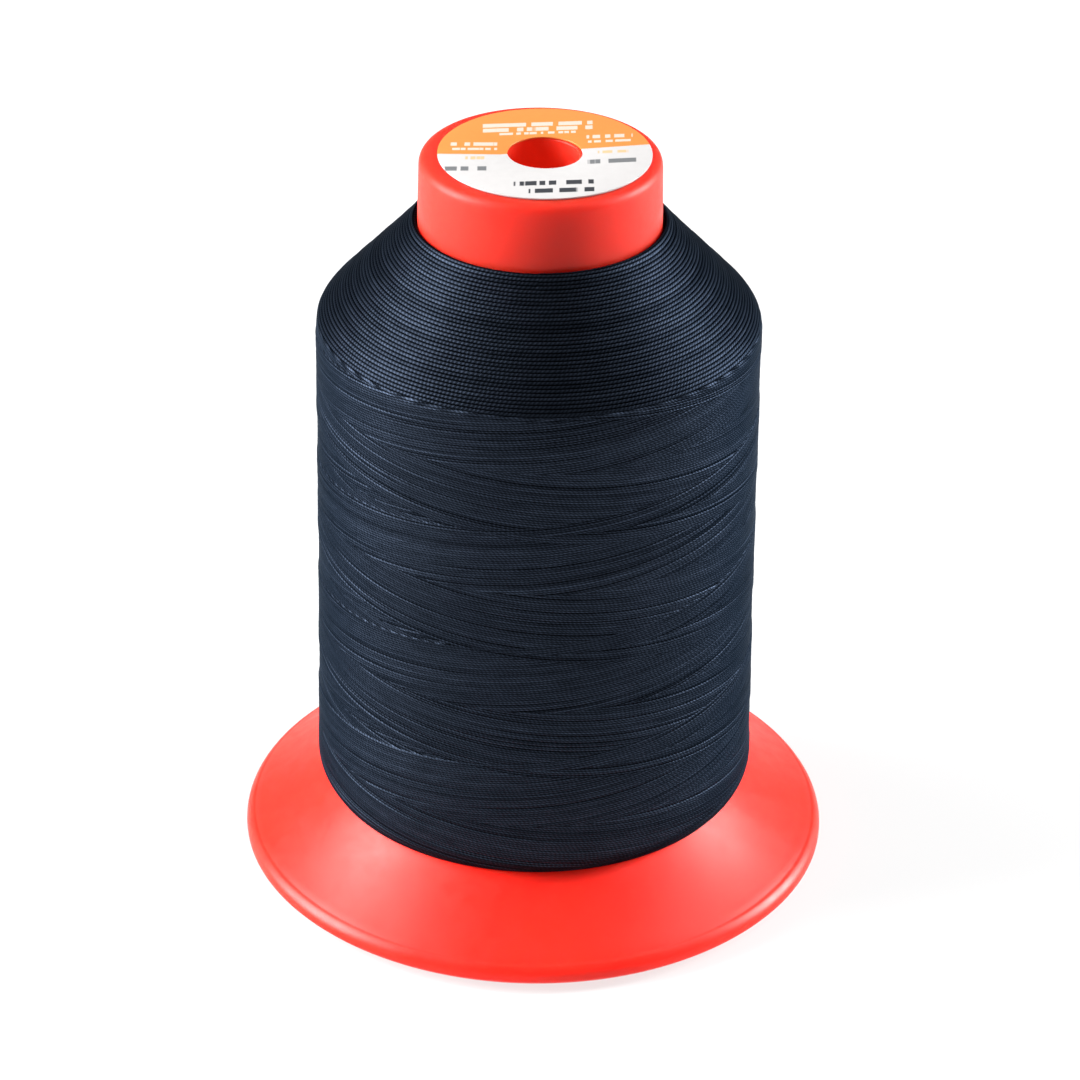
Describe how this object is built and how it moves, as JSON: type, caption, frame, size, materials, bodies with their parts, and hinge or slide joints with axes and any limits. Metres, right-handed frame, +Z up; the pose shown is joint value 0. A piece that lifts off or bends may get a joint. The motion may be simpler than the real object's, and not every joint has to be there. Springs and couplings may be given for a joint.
{
  "type": "thread spool",
  "caption": "Flared-foot plastic spool wound with dark filament sewing thread, with a round labelled head and a bore for a spool pin.",
  "frame": {"origin": "on the spool's axis, at the surface that the foot stands on", "axes": "+Z up along the spool's axis from the foot to the head; +X to the right and +Y away from a viewer at the front"},
  "size_m": [0.07, 0.07, 0.09],
  "materials": {
    "foot_plastic": "smooth moulded, semi-gloss, orange-red",
    "core_plastic": "finely grained moulded satin, red",
    "label_paper": "smooth coated paper, off-white with a plain orange field",
    "thread": "twisted continuous filament, soft sheen, dark navy"
  },
  "bodies": {
    "root": {"foot": "foot_plastic", "core_tube": "core_plastic", "head_cap": "core_plastic", "top_label": "label_paper", "thread_winding": "thread"}
  },
  "joints": []
}
